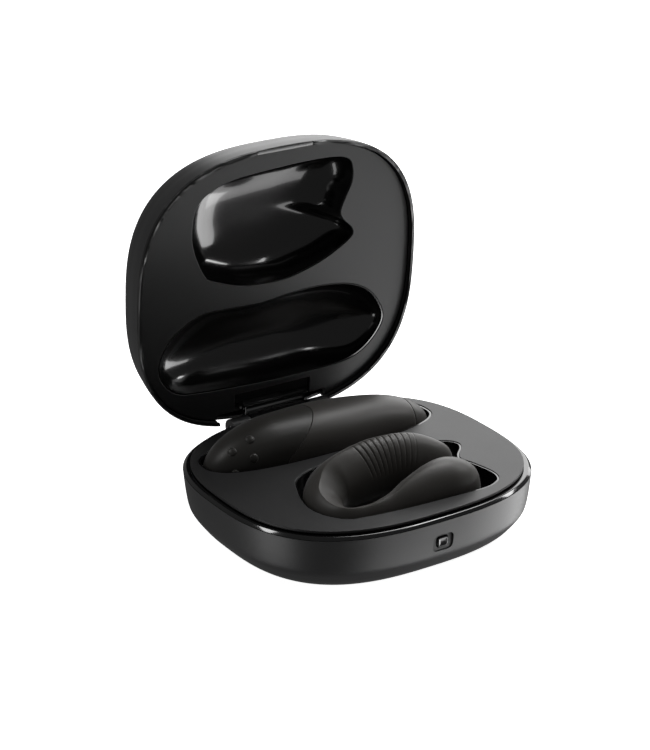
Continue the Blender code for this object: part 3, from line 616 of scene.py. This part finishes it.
def makeLiner(name, mouth, mouthZ, floorZ, square, body, node, move=None, melt=0.55):
    about = middleOf(mouth)
    depth = floorZ - mouthZ
    places = []
    for i in range(liner["steps"]):
        t = i / (liner["steps"] - 1)
        scale = math.cos(t * math.pi / 2 * 0.995)
        drop = (1 - scale**square) ** 0.5
        soft = softened(mouth, melt * (1 - scale)) if i else mouth
        places.append(flatRing(soft, mouthZ + depth * drop, scale, about))
    bowl = newObject(name, loft(liner["sides"], places, "tip"))
    wall = bowl.modifiers.new("wall", "SOLIDIFY")
    wall.thickness = liner["wall"]
    wall.offset = -1.0
    settle(bowl)
    finishPiece(bowl, "gloss_black", body, [node], angle=50.0, move=move)


makeBaseShell()
makeFrontButton()
makeFootPad()
makeBaseRing()
makeDeck()
panelLow = case["deckZ"] - 0.25 * mm
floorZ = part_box("remote_contact_left")[0].z - 0.5 * mm
makeLiner("remotePocket", remoteMouth, panelLow, floorZ, 6.0, "base", "remote_pocket", melt=0.2)
makeLiner("devicePocket", deviceMouth, panelLow, floorZ, 9.0, "base", "device_pocket", melt=0.2)
print("base made")


# lid, drawn closed and then swung open about the hinge
lid = {
    "lean": [(0.0, 0.0), (0.20, 0.6), (0.36, 1.3), (0.50, 1.9), (0.62, 2.7), (0.72, 4.0), (0.81, 6.2),
             (0.90, 10.0), (0.965, 16.0), (1.0, 27.0)],
    "height": 22.8 * mm, "ring": 1.2 * mm, "ringWidth": 1.3 * mm, "edge": 0.45 * mm, "wall": 1.2 * mm,
    "recess": 2.0 * mm, "plate": 1.5 * mm, "plateInset": 1.75 * mm, "rings": 52,
    "hingeLeft": -24.0 * mm, "hingeRight": 21.8 * mm, "hingeFront": 0.9 * mm, "hingeTop": 2.7 * mm,
    "knuckle": 3.5 * mm, "running": 0.35 * mm, "behind": 200 * mm, "above": 40 * mm,
    "notchHalf": 11.5 * mm, "notchTilt": -38, "notchPivot": 1.3 * mm, "notchReach": 6 * mm,
}
lidZ = case["rimZ"] + case["lidGap"]
plateZ = lidZ + lid["recess"]


def hingeGap():
    low = hingeAt.y - lid["knuckle"] - lid["running"] - lid["hingeFront"]
    top = hingeAt.z + lid["knuckle"] + lid["hingeTop"]
    return boxOf((lid["hingeLeft"], low, 0), (lid["hingeRight"], lid["behind"], top))


def makeLidShell():
    start = lidZ + lid["ring"] + 0.06 * mm
    height = lidZ + lid["height"] - start
    outer = wallRings(lid["lean"], lid["rings"], start, height, 1)
    crown = [caseRing(27 * mm + 8 * k * mm, lidZ + lid["height"]) for k in (1, 2)]
    inner = [caseRing(30 * mm, lidZ + lid["height"] - lid["wall"]), caseRing(5.6 * mm, lidZ + 16.5 * mm),
             caseRing(1.6 * mm, lidZ + 4.5 * mm), caseRing(lid["ringWidth"] - 0.2 * mm, start)]
    shell = newObject("lidShell", loft(case["sides"], inner + outer + crown))
    carve(shell, [hingeGap()])
    softenEdges(shell, 0.16 * mm, 3, 38.0)
    finishPiece(shell, "charcoal_shell", "lid", ["lid_shell"], move=lidOpen, weighted=True)


def makeLidRing():
    edge = lid["edge"]
    places = [caseRing(0.0, lidZ + lid["ring"]), caseRing(0.0, lidZ + edge), caseRing(edge, lidZ),
              caseRing(lid["ringWidth"], lidZ), caseRing(lid["ringWidth"], lidZ + lid["ring"])]
    ring = newObject("lidTrimRing", loft(case["sides"], places, "joined"))
    half, front = lid["notchHalf"], -case["halfDepth"]
    beyond = case["beyond"]
    notch = boxOf((-half, front - beyond, lidZ - beyond), (half, front + lid["notchReach"], lidZ))
    tilt = Matrix.Rotation(math.radians(lid["notchTilt"]), 3, "X")
    bmesh.ops.rotate(notch, cent=(0, front + lid["notchPivot"], lidZ), matrix=tilt, verts=notch.verts)
    carve(ring, [hingeGap(), notch])
    softenEdges(ring, 0.12 * mm, 3, 30.0)
    finishPiece(ring, "satin_rim", "lid", ["lid_trim_ring"], move=lidOpen, weighted=True)


leafBox = {"x": (-16.7 * mm, 14.7 * mm), "front": 10.9 * mm}


def makeLidPlate():
    inset, back = lid["plateInset"], plateZ + lid["plate"]
    plate = newObject("lidPlate", loft(case["sides"], [caseRing(inset, plateZ), caseRing(inset, back)]))
    tools = [
        loft(200, [flatRing(spread(mouth, -deck["lip"]), z) for z in (plateZ - 1 * mm, back + 1 * mm)])
        for mouth in (lidRemoteMouth, lidDeviceMouth)
    ]
    x, gap = leafBox["x"], case["gap"]
    ahead = hingeAt.y - leafBox["front"] - gap
    leafGap = boxOf((x[0] - gap, ahead, 0), (x[1] + gap, case["behind"], lid["above"]))
    carve(plate, tools + [hingeGap(), leafGap])
    softenEdges(plate, deck["edge"], 3, 40.0)
    finishPiece(plate, "charcoal_deck", "lid", ["lid_plate"], move=lidOpen, weighted=True)


makeLidShell()
makeLidRing()
makeLidPlate()
linerZ = plateZ + 0.25 * mm
remoteCeiling = case["deckZ"] + 16.0 * mm
deviceCeiling = case["deckZ"] + 17.4 * mm
widerMouth = spread(lidDeviceMouth, 0.6 * mm)  # room for the wearable under the closed lid
makeLiner("lidRemoteRecess", lidRemoteMouth, linerZ, remoteCeiling, 3.0, "lid", "lid_remote_recess", lidOpen)
makeLiner("lidDeviceRecess", widerMouth, linerZ, deviceCeiling, 3.8, "lid", "lid_device_recess", lidOpen, 0.3)
print("lid made")

# hinge: the CAD pieces stay, with their edges eased
for name in ("base_hinge_bracket", "lid_hinge_bracket"):
    node = frame["nodes"][name]
    weld = node.modifiers.new("weld", "WELD")
    weld.merge_threshold = 1e-6
    edges = node.modifiers.new("edges", "BEVEL")
    edges.width = 0.25 * mm
    edges.segments = 2
    edges.limit_method = "ANGLE"
    edges.angle_limit = math.radians(40)


# remote
def remoteStation(u):
    half, rise = remote["half"], abs(u)
    width = half.y * (1 - rise**2.9) ** 0.47 * (0.955 + 0.045 * math.cos(2 * math.pi * u))
    top = remote["middle"].z + half.z
    crest = top - 5.4 * mm * max(0.0, u + 0.1) ** 1.7 - 15.0 * mm * max(0.0, -u - 0.45) ** 1.6
    low = remote["middle"].z - half.z
    height = (crest - low) / 2 * (1 - rise**5.2) ** 0.5
    return (crest + low) / 2, width, height


def remoteRing(u, bow, shrink=0.0):
    # a curved slice of one body, so that a bowed seam leaves the outline as it is
    def place(turn):
        x = u * remote["half"].x - bow * min(1.0, 1.0001 - math.sin(turn)) ** 0.85
        middle, width, height = remoteStation(max(-0.9999, min(0.9999, x / remote["half"].x)))
        y = max(0.0, width - shrink) * power(math.cos(turn), 0.92)
        z = max(0.0, height - shrink) * power(math.sin(turn), 0.92)
        return Vector((remote["middle"].x + x, remote["middle"].y + y, middle + z))
    return place


def bowAt(u):
    left, right = remote["leftSeam"], remote["rightSeam"]
    if u <= left:
        return remote["leftBow"] * max(0.0, (u + 0.97) / (left + 0.97))
    if u <= right:
        return remote["leftBow"] + (remote["rightBow"] - remote["leftBow"]) * (u - left) / (right - left)
    return remote["rightBow"] * max(0.0, (0.985 - u) / (0.985 - right))


remoteSeam = {"step": 0.18 * mm, "dip": 0.16 * mm, "deep": 1.2 * mm}


def seamRings(u, inward):
    bow, step = bowAt(u), inward * remoteSeam["step"] / remote["half"].x
    sunk = [remoteRing(u, bow, remoteSeam[depth]) for depth in ("deep", "dip")]
    return sunk + [remoteRing(u + step, bow)]


def remotePart(name, stations, finish, nodes, tips):
    places = [remoteRing(u, bowAt(u)) for u in stations]
    if not tips[0]:
        places[:1] = seamRings(stations[0], 1)
    if not tips[1]:
        places[-1:] = seamRings(stations[-1], -1)[::-1]
    piece = newObject(name, loft(remote["sides"], places))
    finishPiece(piece, finish, "remote", nodes, angle=40.0)


def between(low, high, count):
    return [low + (high - low) * i / (count - 1) for i in range(count)]


def endStations(inner, outer, count):
    return [inner + (outer - inner) * math.sin(math.pi / 2 * i / (count - 1)) for i in range(count)]


def makeRemote():
    gap = 0.05 * mm / remote["half"].x
    left, right = remote["leftSeam"], remote["rightSeam"]
    stations = between(left + gap, right - gap, 40)
    remotePart("remoteBody", stations, "silicone", ["remote_body"], (False, False))
    stations = endStations(left - gap, -0.9995, 46)[::-1]
    remotePart("remoteButtonEnd", stations, "silicone_dark", ["remote_button_end"], (True, False))
    stations = endStations(right + gap, 0.9995, 26)
    remotePart("remoteEndCap", stations, "silicone", ["remote_end_cap"], (False, True))


def makeRemoteButton(name):
    joint = next(j for j in frame["joints"] if j["name"] == "remote_" + name + "_press")
    outward = -Vector(joint["axis"]).normalized()
    low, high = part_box("remote_button_" + name)
    centre = (low + high) / 2
    turned = Matrix.Translation(centre) @ outward.to_track_quat("Z", "Y").to_matrix().to_4x4()
    dome = [(-1.5, 1.7), (0.1, 1.7), (0.45, 1.68), (0.75, 1.56), (0.95, 1.32), (1.08, 0.95), (1.15, 0.5),
            (1.17, 0.1)]

    def ring(height, radius):
        return lambda turn: Vector((radius * mm * math.cos(turn), radius * mm * math.sin(turn), height * mm))

    bm = loft(40, [ring(height, radius) for height, radius in dome])
    bmesh.ops.transform(bm, matrix=turned, verts=bm.verts)
    piece = newObject("remoteButton" + name.capitalize(), bm)
    finishPiece(piece, "silicone_dark", "remote_button_" + name, ["remote_button_" + name], angle=60.0)


makeRemote()
for name in ("up", "down", "mode", "power"):
    makeRemoteButton(name)
print("remote made")


# wearable: a folded arm swept along its middle line. Each point of the path holds x, y and half thickness
# as shares, the crest in mm above the deck, how sharp the crest is, and its lean in mm
fold = {
    "path": [
        (1.10, 0.46, 0.05, 1.5, 1.0, 0.0), (0.95, 0.36, 0.28, 6.5, 1.0, 0.0),
        (0.58, 0.46, 0.38, 11.5, 1.0, 0.0), (0.12, 0.55, 0.42, 12.4, 1.0, 0.0),
        (-0.29, 0.53, 0.43, 11.2, 1.1, 0.0), (-0.58, 0.45, 0.42, 8.8, 1.25, 0.0),
        (-0.77, 0.16, 0.36, 5.0, 1.5, 0.2), (-0.81, -0.21, 0.31, 2.6, 1.7, 0.8),
        (-0.72, -0.53, 0.28, 1.9, 1.8, 2.0), (-0.49, -0.65, 0.26, 2.2, 1.8, 2.7),
        (-0.22, -0.68, 0.27, 3.8, 1.7, 2.5), (0.05, -0.66, 0.33, 6.8, 1.5, 1.6),
        (0.34, -0.62, 0.40, 8.9, 1.25, 0.6), (0.60, -0.59, 0.46, 9.3, 1.1, 0.2),
        (0.82, -0.59, 0.42, 7.6, 1.0, 0.0), (0.97, -0.60, 0.30, 4.4, 1.0, 0.0),
        (1.06, -0.61, 0.06, 0.5, 1.0, 0.0),
    ],
    "sides": 88, "coarse": 0.7 * mm, "fine": 0.16 * mm,
}
grooves = {
    "count": 11, "start": 15.5 * mm, "step": 2.35 * mm, "depth": 0.55 * mm, "width": 0.24 * mm,
    "lean": (-3.0 * mm, 3.2 * mm), "strength": (0.25, 1.0), "crest": (112, 84), "foot": (2, 28),
}


def ramp(value, low, high):
    t = min(1.0, max(0.0, (value - low) / (high - low)))
    return t * t * (3 - 2 * t)


def foldStations():
    centre, half = wearable["centre"], wearable["half"]
    points = [
        (centre.x + p[0] * half.x, centre.y + p[1] * half.y, p[2] * half.y, p[3] * mm) for p in fold["path"]
    ]
    rows = curveThrough(points, 1600)
    shaped = [(p[4], p[5] * mm) for p in fold["path"]]
    walked = [0.0]
    for a, b in zip(rows, rows[1:]):
        walked.append(walked[-1] + (b.xy - a.xy).length)
    ribbed = (grooves["start"] - 5 * mm, grooves["start"] + grooves["count"] * grooves["step"] + 4 * mm)
    picked = [0]
    for i in range(1, len(rows)):
        step = fold["fine"] if ribbed[0] < walked[i] < ribbed[1] else fold["coarse"]
        if walked[i] - walked[picked[-1]] >= step or i == len(rows) - 1:
            picked.append(i)
    return rows, walked, shaped, picked


def grooveAt(along, turn):
    angle = math.degrees(turn) if turn < 1.5 * math.pi else math.degrees(turn) - 360
    window = (1 - ramp(angle, grooves["crest"][1], grooves["crest"][0])) * ramp(angle, *grooves["foot"])
    if window <= 0:
        return 0.0
    fall = 1 - math.sin(turn)
    depth = 0.0
    for i in range(grooves["count"]):
        share = i / (grooves["count"] - 1)
        lean = grooves["lean"][0] + (grooves["lean"][1] - grooves["lean"][0]) * share
        gone = (along - grooves["start"] - i * grooves["step"] + lean * fall) / grooves["width"]
        if abs(gone) < 4:
            depth += (grooves["strength"][0] + (1 - grooves["strength"][0]) * share) * math.exp(-gone * gone)
    return depth * window * grooves["depth"]


def makeWearable():
    rows, walked, shaped, picked = foldStations()
    last = len(rows) - 1

    def crestShape(i):
        place = min(len(shaped) - 1.001, i / last * (len(shaped) - 1))
        near, far = shaped[int(place)], shaped[int(place) + 1]
        share = ramp(place % 1.0, 0.0, 1.0)
        return [a + (b - a) * share for a, b in zip(near, far)]

    def ring(i):
        here = rows[i]
        along = (rows[min(i + 8, last)] - rows[max(i - 8, 0)]).xy
        side = Vector((-along.y, along.x)).normalized()
        top = case["deckZ"] + here[3]
        low = wearable["low"] + 2.5 * mm * (1 - min(1.0, here[2] / (7 * mm)))
        middle, half = (top + low) / 2, (top - low) / 2
        peak, lean = crestShape(i)

        def place(turn):
            s = math.sin(turn)
            cut = grooveAt(walked[i], turn)
            out = (here[2] - cut) * power(math.cos(turn), peak if s > 0 else 1.0) - lean * max(0.0, s) ** 2
            return Vector((here.x + side.x * out, here.y + side.y * out, middle + (half - cut) * s))
        return place

    piece = newObject("deviceSkin", loft(fold["sides"], [ring(i) for i in picked]))
    finishPiece(piece, "silicone", "device", ["device_skin"], angle=80.0)


makeWearable()
print("wearable made")

# studio
studio = {
    "azimuth": -33.561, "elevation": 24.233, "distance": 0.7763, "aim": (0, 0, 0.03141), "lens": 107.38,
    "shift": (-0.0426, 0.0925), "sensor": 36.0,
}


def makeCamera():
    data = bpy.data.cameras.new("camera")
    data.lens = studio["lens"]
    data.sensor_width = studio["sensor"]
    data.shift_x, data.shift_y = studio["shift"]
    data.clip_start, data.clip_end = 0.01, 20
    az, el = math.radians(studio["azimuth"]), math.radians(studio["elevation"])
    back = Vector((math.sin(az) * math.cos(el), -math.cos(az) * math.cos(el), math.sin(el)))
    made = bpy.data.objects.new("camera", data)
    made.location = Vector(studio["aim"]) + back * studio["distance"]
    made.rotation_mode = "QUATERNION"
    made.rotation_quaternion = (-back).to_track_quat("-Z", "Y")
    bpy.context.scene.collection.objects.link(made)
    bpy.context.scene.camera = made


# each panel: direction from the case, distance, size and brightness
softboxes = {
    "backdrop": ((0.70, 0.64, 0.33), 1.3, (1.3, 0.9), 2.6),
    "top": ((0.50, 0.25, 0.82), 0.9, (0.45, 0.32), 8.0),
    "leftBack": ((-0.57, 0.34, 0.74), 0.9, (0.20, 0.20), 10.0),
    "rightUp": ((0.83, -0.14, 0.54), 0.9, (0.20, 0.20), 10.0),
    "rightLow": ((0.84, -0.22, -0.38), 1.0, (0.9, 0.6), 4.5),
    "strip": ((0.50, -0.08, 0.86), 0.9, (0.70, 0.07), 8.0),
    "leftLow": ((-0.87, 0.10, -0.40), 1.0, (0.6, 0.6), 2.8),
    "frontLow": ((0.42, -0.60, -0.68), 1.0, (0.9, 0.5), 2.6),
}


def makeLights():
    for name, (toward, distance, size, glow) in softboxes.items():
        data = bpy.data.lights.new(name, "AREA")
        data.shape = "RECTANGLE"
        data.size, data.size_y = size
        data.energy = glow * math.pi * size[0] * size[1]
        made = bpy.data.objects.new(name, data)
        outward = Vector(toward).normalized()
        made.location = Vector((0, 0, 0.05)) + outward * distance
        made.rotation_mode = "QUATERNION"
        made.rotation_quaternion = (-outward).to_track_quat("-Z", "Y")
        bpy.context.scene.collection.objects.link(made)


def makeStage():
    bm = bmesh.new()
    bmesh.ops.create_grid(bm, x_segments=1, y_segments=1, size=30.0)
    floor = newObject("floor", bm)
    made, shader, place = newMaterial("floorPaint", {"Roughness": 0.9, "Specular IOR Level": 0.1})
    tone = noiseOf(place, 2.0)
    feed(shader, "Base Color", mixColor(tone, (0.95, 0.95, 0.95), (0.96, 0.96, 0.96)))
    shader.inputs["Emission Color"].default_value = (1, 1, 1, 1)
    shader.inputs["Emission Strength"].default_value = 0.95
    floor.data.materials.append(made)
    floor.visible_glossy = False
    floor.visible_diffuse = False
    floor.visible_shadow = False
    world = bpy.data.worlds.new("studio")
    world.use_nodes = True
    tree = world.node_tree
    background = tree.nodes["Background"]
    rays = tree.nodes.new("ShaderNodeLightPath")
    seen = Val(tree, rays.outputs["Is Camera Ray"])
    value = mixColor(seen, (0.14, 0.14, 0.14), (1.0, 1.0, 1.0))
    tree.links.new(value.socket, background.inputs["Color"])
    bpy.context.scene.world = world
    bpy.context.scene.view_settings.view_transform = "Standard"


makeCamera()
makeLights()
makeStage()
print("studio set")
